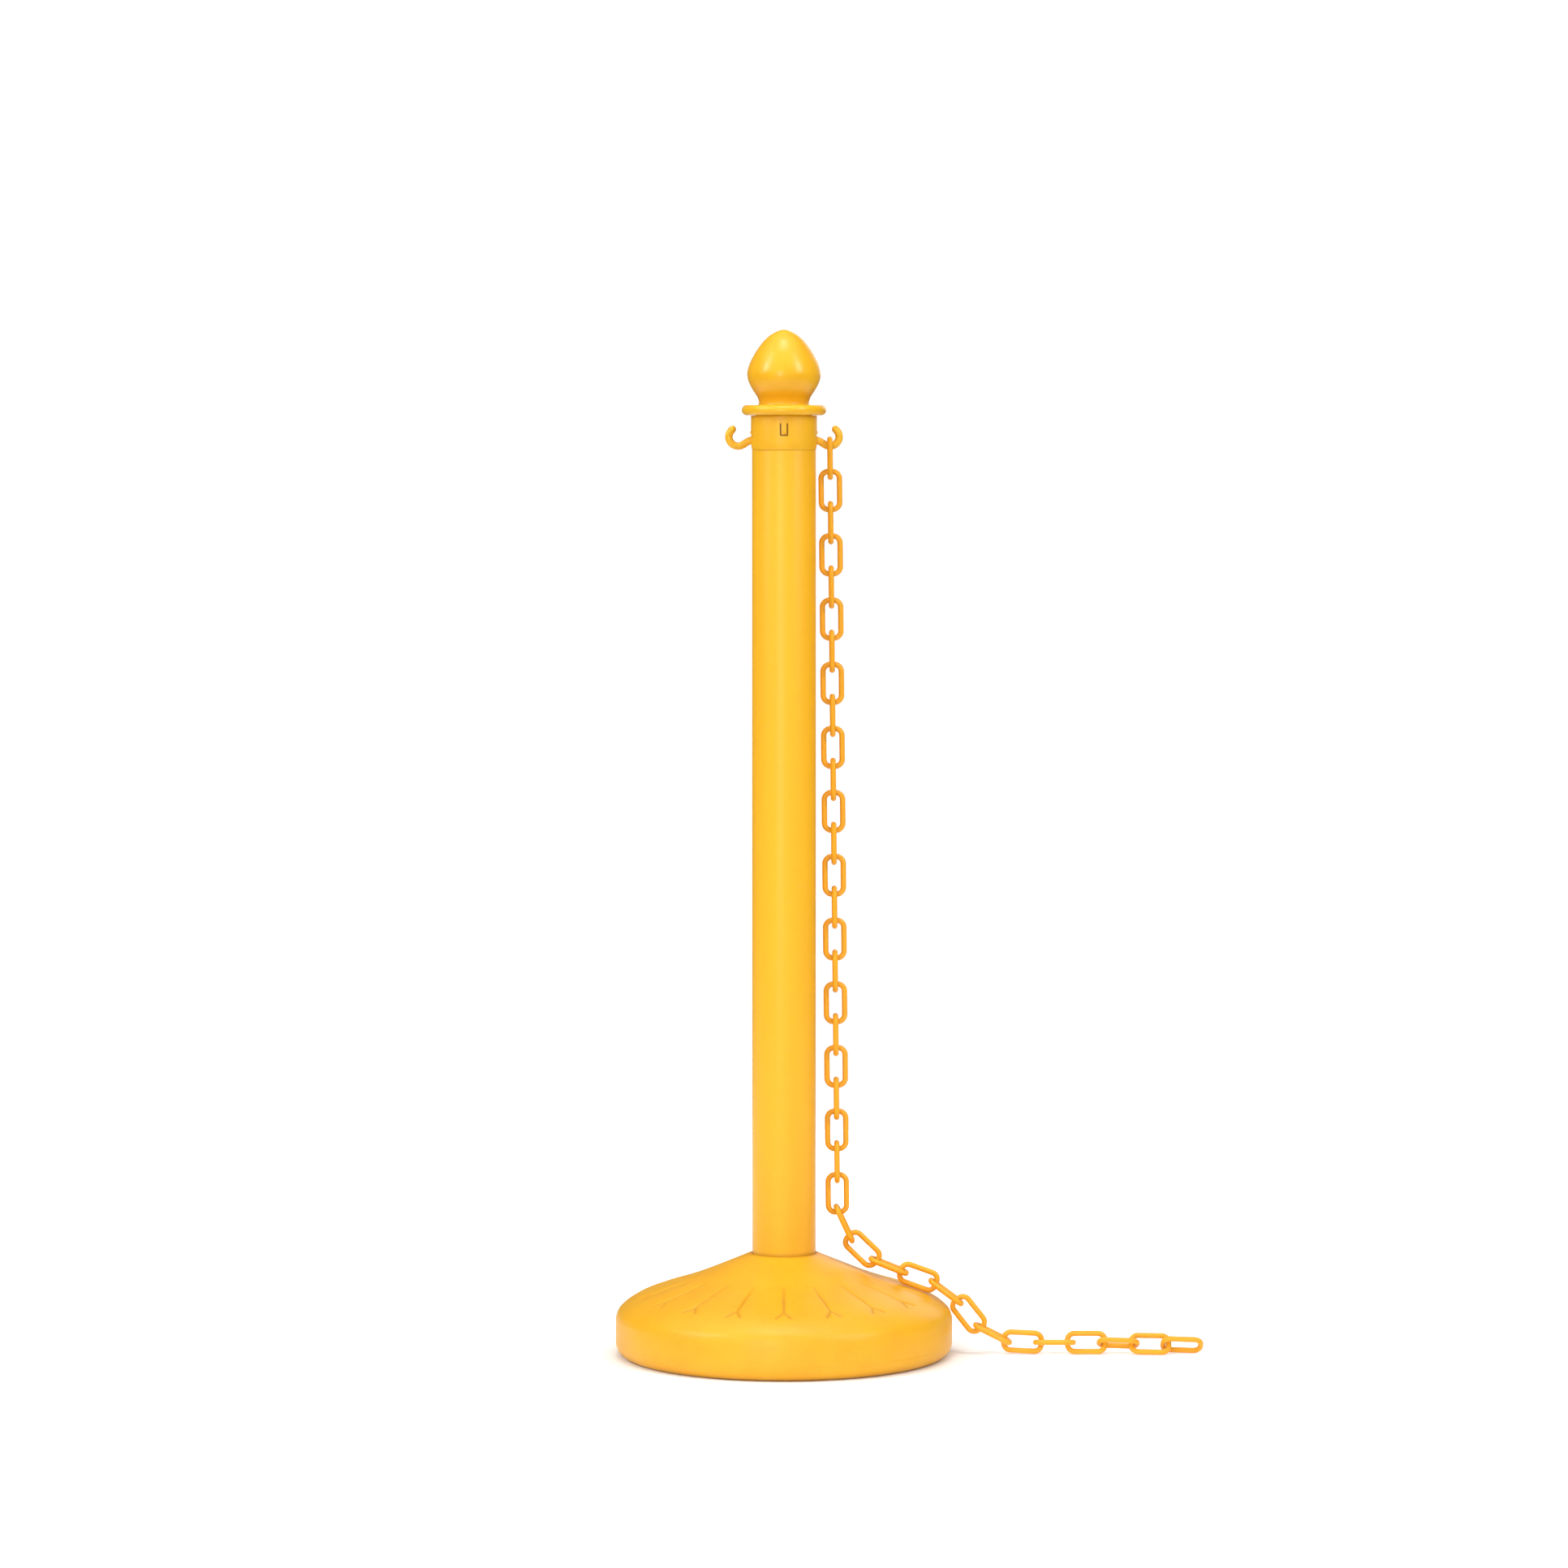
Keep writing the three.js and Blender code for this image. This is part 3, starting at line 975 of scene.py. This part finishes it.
# ---- post, collar and hooks ----
@dataclass
class Post:
    """Hollow post, hook collar with snap tabs, and the two hooks. Sizes in millimetres."""

    radius: float = 26.8
    bore: float = 24.0
    bottom: float = 4.3
    neck_radius: float = 25.4
    seam: float = 400.0
    shoulder: float = 765.3
    top: float = 790.0
    collar_radius: float = 27.7
    collar_inside: float = 25.7
    collar_bottom: float = 765.45
    collar_top: float = 794.1
    collar_taper: float = 5.0
    tab_width: float = 7.0
    tab_bottom: float = 777.0
    tab_top: float = 787.6
    tab_slit: float = 1.35
    bump_radius: float = 1.3
    rod_radius: float = 3.15
    shank_end: float = 22.8
    shank_up: float = 773.5
    hook_radius: float = 7.75
    hook_out: float = 38.5
    hook_up: float = 776.3
    bend_start: float = 26.6
    bend_out: float = 30.2
    bend_drop: float = 1.1
    arc_angles: Pair = (-126.0, 76.0)

    def tube(self) -> bpy.types.Mesh:
        """Tube with a stepped-down neck; build cuts the holes for the hooks' shanks afterwards.

        Returns:
            The mesh.
        """
        profile = rounded([
            (self.bore, self.seam, 0), (self.bore, self.bottom, 0.8), (self.radius, self.bottom, 1.0),
            (self.radius, self.shoulder, 0.35), (self.neck_radius, self.shoulder, 0.3),
            (self.neck_radius, self.top, 0.5), (self.bore, self.top, 0.4), (self.bore, self.seam, 0),
        ], 3)
        return Shape().turn(profile[:-1], columns(160), looped=True).mesh("post_moulding")

    def slit_outline(self) -> list[Pair]:
        """U-shaped outline of the slit round one snap tab, as sideways place and height.

        Returns:
            The corners, in order.
        """
        half, floor, corner = self.tab_width / 2, self.tab_bottom, 1.0
        inner, inner_corner = half - self.tab_slit, 0.3
        outside = [
            (-half, self.tab_top),
            *arc((-half + corner, floor + corner), corner, 180, 270, 4),
            *arc((half - corner, floor + corner), corner, -90, 0, 4),
            (half, self.tab_top),
        ]
        lift = floor + self.tab_slit + inner_corner
        inside = [
            (inner, self.tab_top),
            *arc((inner - inner_corner, lift), inner_corner, 0, -90, 3),
            *arc((-inner + inner_corner, lift), inner_corner, -90, -180, 3),
            (-inner, self.tab_top),
        ]
        return outside + inside

    def shank_holes(self, clearance: float, near: float, far: float) -> Shape:
        """Cutting shape of the two holes that the hooks' shanks go through.

        Args:
            clearance: Gap round a shank.
            near: Distance of a hole's inner end from the axis.
            far: Distance of its outer end.

        Returns:
            The shape.
        """
        rim = around(self.rod_radius + clearance, columns(32))
        outline = [(x, self.shank_up + y) for x, y in rim]
        return Shape().prism(outline, near, far, 0).prism(outline, near, far, 2)

    def collar(self) -> bpy.types.Object:
        """Collar sleeve with four snap tabs and two holes for the hooks.

        Returns:
            The piece.
        """
        profile = rounded([
            (self.collar_inside, 780, 0), (self.collar_inside, self.collar_bottom, 0.3),
            (self.radius + 0.12, self.collar_bottom, 0.15),
            (self.collar_radius, self.collar_bottom + self.collar_taper, 8.0),
            (self.collar_radius, self.collar_top, 0.5),
            (self.collar_inside, self.collar_top, 0.3), (self.collar_inside, 780, 0),
        ], 3)
        mesh = Shape().turn(profile[:-1], columns(200), looped=True).mesh("collar_moulding")
        piece = piece_from(mesh)
        slits, bumps = Shape(), Shape()
        near, far = self.collar_inside - 1.2, self.collar_radius + 2
        for quarter in range(4):
            slits.prism(self.slit_outline(), near, far, quarter)
            angle = math.radians(90 * quarter)
            out = self.collar_radius - 0.5
            centre = (out * math.cos(angle), out * math.sin(angle))
            ball = arc((0, self.tab_bottom + 3), self.bump_radius, -90, 90, 12)
            bumps.turn([(0, ball[0][1]), *ball[1:-1], (0, ball[-1][1])], columns(20), centre)
        cut(piece, slits, "DIFFERENCE")
        cut(piece, self.shank_holes(0.25, near, far), "DIFFERENCE")
        cut(piece, bumps, "UNION")
        return piece

    def hook_path(self, side: int) -> bpy.types.Mesh:
        """Middle line of one hook, with the rod's radius at each point.

        Args:
            side: 1 for the right-hand hook, -1 for the left-hand one.

        Returns:
            A line mesh with the attribute rod_radius.
        """
        knots = [
            (self.shank_end, self.shank_up), (self.bend_start, self.shank_up),
            (self.bend_out, self.shank_up - self.bend_drop),
            *arc((self.hook_out, self.hook_up), self.hook_radius, *self.arc_angles, 10),
        ]
        line = smooth_line(knots, 0.55)
        steps = np.linalg.norm(np.diff(line, axis=0), axis=1)
        left = np.concatenate([np.cumsum(steps[::-1])[::-1], [0]])
        rounding = np.clip(1 - left / self.rod_radius, 0, 0.995)
        radii = self.rod_radius * np.sqrt(1 - rounding**2)
        mesh = bpy.data.meshes.new("hook_path")
        points = [(side * MM * out, 0.0, MM * up) for out, up in line]
        mesh.from_pydata(points, [(i, i + 1) for i in range(len(points) - 1)], [])
        attribute = mesh.attributes.new("rod_radius", "FLOAT", "POINT")
        attribute.data.foreach_set("value", (radii * MM).astype(np.float32))
        return mesh

    def rod_rule(self) -> GeometryRule:
        """Tree that sweeps a round rod along a line.

        Returns:
            The tree.
        """
        rule = GeometryRule("swept_rod")
        sides = rule.size("Sides")
        curve = rule.node("GeometryNodeMeshToCurve", None, {0: rule.entry.outputs["Geometry"]})
        named = rule.node("GeometryNodeInputNamedAttribute", {"data_type": "FLOAT"}, {"Name": "rod_radius"})
        sized = rule.node(
            "GeometryNodeSetCurveRadius", None, {"Curve": curve.outputs[0], "Radius": named.outputs[0]}
        )
        section = rule.node("GeometryNodeCurvePrimitiveCircle", None, {"Resolution": sides, "Radius": 1.0})
        scale = rule.node("GeometryNodeInputRadius").outputs[0]
        sockets = {"Curve": sized.outputs[0], "Profile Curve": section.outputs[0], "Scale": scale}
        swept = rule.node("GeometryNodeCurveToMesh", None, {**sockets, "Fill Caps": True})
        rule.close(swept.outputs[0])
        return rule

    def build(
        self, tube: bpy.types.Material, collar: bpy.types.Material, hook: bpy.types.Material
    ) -> None:
        """Makes and dresses the post, the collar and both hooks.

        Args:
            tube: Material of the post.
            collar: Material of the collar.
            hook: Material of the hooks.
        """
        post = piece_from(self.tube())
        cut(post, self.shank_holes(0.3, self.bore - 2, self.neck_radius + 0.2), "DIFFERENCE")
        dress(post, "post", ["post_tube"], tube)
        dress(self.collar(), "post", ["hook_collar"], collar)
        rule = self.rod_rule()
        for name, side in (("right", 1), ("left", -1)):
            inputs = {"Material": hook, "Sides": 28.0}
            rod = rule.grow(f"{name}_hook", inputs, self.hook_path(side))
            dress(rod, "post", [f"c_hook_{name}"], hook)


# ---- finial ----
@dataclass
class Finial:
    """Ball finial with its neck, flange and push-in spigot. Sizes in millimetres."""

    flange_radius: float = 35.4
    flange_bottom: float = 794.4
    flange_top: float = 802.9
    neck_radius: float = 21.4
    spigot_radius: float = 23.7
    spigot_bottom: float = 780.3
    ball: tuple[Pair, ...] = (
        (20.9, 805.0), (22.2, 809.4), (26.4, 816.0), (29.8, 823.0), (30.8, 829.5), (29.1, 836.6),
        (25.9, 843.4), (21.9, 850.0), (15.6, 857.8), (8.4, 863.2), (0.0, 866.0),
    )

    def build(self, plastic: bpy.types.Material) -> None:
        """Makes and dresses the finial.

        Args:
            plastic: Its material.
        """
        rim = (self.flange_top - self.flange_bottom) / 2
        middle = (self.flange_radius - rim, self.flange_bottom + rim)
        spigot = rounded([
            (0, self.spigot_bottom + 3, 0), (self.spigot_radius - 3, self.spigot_bottom + 3, 0.6),
            (self.spigot_radius - 2, self.spigot_bottom, 0.5),
            (self.spigot_radius, self.spigot_bottom + 1.5, 0.5),
            (self.spigot_radius, self.flange_bottom, 0.3), (middle[0], self.flange_bottom, 0),
        ], 3)
        neck = rounded([
            (middle[0], self.flange_top, 0), (self.neck_radius, self.flange_top, 1.0), (*self.ball[0], 0),
        ], 4)
        top_out, top_up = self.ball[-2]
        line = smooth_line([*self.ball, (-top_out, top_up)], 0.9)
        ball = [(radius, up) for radius, up in line if radius > 0.3] + [self.ball[-1]]
        profile = [*spigot, *arc(middle, rim, -90, 90, 16)[1:], *neck[1:-1], *ball]
        mesh = Shape().turn(profile, columns(144)).mesh("finial_moulding")
        dress(piece_from(mesh), "finial", ["finial"], plastic, 40.0)


# ---- chain ----
@dataclass
class Chain:
    """One metre of separate moulded links. Sizes in millimetres."""

    bar_radius: float = 2.3
    inner_length: float = 27.3
    outer_width: float = 20.0
    corner_radius: float = 6.0

    def link_rule(self) -> GeometryRule:
        """Tree that makes one link and puts it in its place.

        Returns:
            The tree.
        """
        rule = GeometryRule("chain_link_loop")
        bar, length = rule.size("Bar radius"), rule.size("Inner length")
        width, corner = rule.size("Outer width"), rule.size("Corner radius")
        centre, turn = rule.vector("Centre"), rule.vector("Turn")
        frame_line = rule.node(
            "GeometryNodeCurvePrimitiveQuadrilateral", None,
            {"Width": width - bar * 2.0, "Height": length + bar * 2.0},
        )
        filleted = rule.node(
            "GeometryNodeFilletCurve", {"mode": "POLY"},
            {"Curve": frame_line.outputs[0], "Radius": corner, "Count": 8},
        )
        section = rule.node("GeometryNodeCurvePrimitiveCircle", None, {"Resolution": 18, "Radius": bar})
        loop = rule.node(
            "GeometryNodeCurveToMesh", None,
            {"Curve": filleted.outputs[0], "Profile Curve": section.outputs[0]},
        )
        offset = rule.parts(rule.node("GeometryNodeInputPosition").outputs[0])[2]
        marked = rule.mark(loop.outputs[0], "off_plane", offset)
        rotation = rule.node("FunctionNodeEulerToRotation", None, {0: turn})
        moved = rule.node(
            "GeometryNodeTransform", None,
            {"Geometry": marked, "Translation": centre, "Rotation": rotation.outputs[0]},
        )
        rule.close(moved.outputs[0])
        return rule

    @staticmethod
    def placement(node: str) -> tuple[Vector, Euler]:
        """Centre and turn of one link, from the spread of its node's points.

        Args:
            node: Name of the link's node.

        Returns:
            Its centre, and the turn that takes width, length and thickness to their axes.
        """
        points = np.array([vertex.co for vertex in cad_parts[node].data.vertices], float)
        _, axes = np.linalg.eigh(np.cov((points - points.mean(0)).T))
        thickness, width, length = axes.T
        if length[2] < 0:
            length = -length
        if width[1] + 0.5 * width[0] < 0:
            width = -width
        thickness = np.cross(width, length)
        basis = Matrix((width, length, thickness)).transposed()
        centre = (points @ axes).max(0) / 2 + (points @ axes).min(0) / 2
        return Vector(axes @ centre), basis.to_euler()

    def build(self, plastic: bpy.types.Material) -> None:
        """Makes and dresses every link.

        Args:
            plastic: Material of the links.
        """
        rule = self.link_rule()
        sizes = {
            "Material": plastic, "Bar radius": self.bar_radius * MM,
            "Inner length": self.inner_length * MM, "Outer width": self.outer_width * MM,
            "Corner radius": self.corner_radius * MM,
        }
        for node in sorted(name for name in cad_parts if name.startswith("chain_link_")):
            centre, turn = self.placement(node)
            number = node.rsplit("_", 1)[1]
            link = rule.grow(f"link_{number}", {**sizes, "Centre": tuple(centre), "Turn": tuple(turn)})
            dress(link, f"link_{number}", [node], plastic)


# ---- studio ----
@dataclass
class Studio:
    """Pale floor, soft lights and the camera. Sizes in metres."""

    camera_height: float = 0.793
    camera_distance: float = 4.7
    aim_height: float = 0.4845
    view_degrees: float = 15.96
    floor_radius: float = 1.5
    ambient: float = 0.16
    overhead: float = 1.5

    def floor(self) -> None:
        """Lays the pale round floor, which glows a little so that its edge is lost in the white."""
        disc = Shape().turn([(self.floor_radius / MM, 0.0), (0.0, 0.0)], columns(96)).mesh("floor")
        graph = ShaderGraph("pale_floor")
        clouds = graph.noise(1.5, 2.0)
        tint = graph.mix(clouds * 0.2, (0.90, 0.90, 0.90), (0.87, 0.87, 0.87))
        x, y, _ = graph.parts(graph.place)
        radius = graph.length(x, y)
        near, far = radius.ramp(0.135, 0.19), radius.ramp(0.3, 1.2)
        glow = graph.mix(near * 0.4 + far * 0.6, (0.0, 0.0, 0.0), (0.64, 0.64, 0.64))
        disc.materials.append(
            graph.finish(Base_Color=tint, Roughness=0.85, Emission_Color=glow, Emission_Strength=1.0)
        )
        piece_from(disc)

    @staticmethod
    def aimed(data: bpy.types.ID, place: Triple, aim: Triple) -> bpy.types.Object:
        """Puts a lamp or the camera in the scene, facing a point.

        Args:
            data: Its data, whose name it takes.
            place: Where it stands.
            aim: Point that it faces.

        Returns:
            The object.
        """
        made = placed(data.name, data)
        made.location = place
        made.rotation_euler = (Vector(aim) - Vector(place)).to_track_quat("-Z", "Y").to_euler()
        return made

    def light(
        self, name: str, place: Triple, aim: Triple, size: Pair, power: float, spread: float = 180.0
    ) -> None:
        """Hangs one soft box.

        Args:
            name: Name of the light.
            place: Where it hangs.
            aim: Point that it faces.
            size: Its width and height.
            power: Its power in watts.
            spread: Width of its beam in degrees.
        """
        data = bpy.data.lights.new(name, "AREA")
        data.shape, data.size, data.size_y, data.energy = "RECTANGLE", *size, power
        data.spread = math.radians(spread)
        self.aimed(data, place, aim)

    def camera(self) -> None:
        """Sets up the camera, level with the flange and a little way down."""
        data = bpy.data.cameras.new("camera")
        data.sensor_width = 36.0
        data.lens = data.sensor_width / 2 / math.tan(math.radians(self.view_degrees / 2))
        place = (0.0, -self.camera_distance, self.camera_height)
        bpy.context.scene.camera = self.aimed(data, place, (0.0, 0.0, self.aim_height))

    def build(self) -> None:
        """Sets up the whole studio."""
        self.camera()
        self.floor()
        self.world()
        bpy.context.scene.view_settings.view_transform = "Standard"
        self.daylight()
        self.light("key", (-0.72, -3.1, 0.95), (0, 0, 0.5), (0.55, 1.7), 28.0)
        self.light("front", (0.9, -3.2, 1.0), (0, 0, 0.5), (2.4, 1.6), 5.5)
        self.light("left_strip", (-1.9, -0.95, 2.1), (0, 0, 0.83), (0.13, 2.2), 4.2, 50.0)
        self.light("right_strip", (1.75, -1.35, 2.1), (0, 0, 0.83), (0.13, 2.2), 4.2, 50.0)
        self.light("top_glow", (-0.03, -0.32, 2.6), (0, -0.09, 0.3), (0.9, 0.25), 0.60, 30.0)
        self.light("back", (0.9, 3.0, 1.5), (0, 0, 0.45), (2.2, 1.6), 17.0)

    def world(self) -> None:
        """Surrounds the studio with an even pale light, brighter where the camera sees it."""
        world = bpy.data.worlds.new("studio")
        world.use_nodes = True
        graph = NodeGraph(world.node_tree)
        seen = Value(graph, graph.node("ShaderNodeLightPath").outputs["Is Camera Ray"])
        background = world.node_tree.nodes["Background"]
        background.inputs["Color"].default_value = (1.0, 1.0, 1.0, 1.0)
        graph.feed(background.inputs["Strength"], self.ambient + seen * (1.05 - self.ambient))
        bpy.context.scene.world = world

    def daylight(self) -> None:
        """Adds a wide soft light from nearly overhead, which reaches the whole floor alike."""
        data = bpy.data.lights.new("overhead", "SUN")
        data.energy, data.angle = self.overhead, math.radians(100.0)
        self.aimed(data, (0.0, 0.0, 0.0), (0.12, 0.25, -1.0))


def main() -> None:
    """Builds the studio and every sub-assembly."""
    logging.basicConfig(level=logging.INFO, format="%(name)s: %(message)s")
    Studio().build()
    base = MouldedPlastic(
        "base_polyethylene", BASE_YELLOW, BASE_AMBER, gloss=0.36,
        mould_line=MouldLine.RING, ring_up=0.0125, paints_crease_shade=True,
    )
    # Painted shade: a dark line on the post where it enters the base's socket, and a dark neck behind the
    # collar's slits.
    at_socket = PaintedShadeBand(bottom=0.0868, top=0.0884, blur=0.0021, strength=0.24)
    in_slits = PaintedShadeBand(bottom=0.7670, top=0.7880, blur=0.0009, strength=0.60)
    post = MouldedPlastic(
        "post_polyethylene", YELLOW, AMBER, drawn_upwards=True, painted_shade_bands=(at_socket, in_slits)
    )
    collar = MouldedPlastic("collar_polyethylene", YELLOW, AMBER, mould_line=MouldLine.FRONT_PLANE)
    hooks = MouldedPlastic("hook_polyethylene", YELLOW, AMBER, mould_line=MouldLine.FRONT_PLANE)
    knob = MouldedPlastic(
        "finial_polyethylene", YELLOW, AMBER, roughness=0.30, gloss=0.38, mould_line=MouldLine.FRONT_PLANE
    )
    links = MouldedPlastic("chain_polyethylene", CHAIN_YELLOW, AMBER, mould_line=MouldLine.OWN_PLANE)
    dark = MouldedPlastic("plug_polyethylene", CHARCOAL, SOOT, roughness=0.46)
    Base().build(base.material(), dark.material(), SealRubber("seal_rubber_black").material())
    Post().build(post.material(), collar.material(), hooks.material())
    Finial().build(knob.material())
    Chain().build(links.material())


if __name__ == "__main__":
    main()
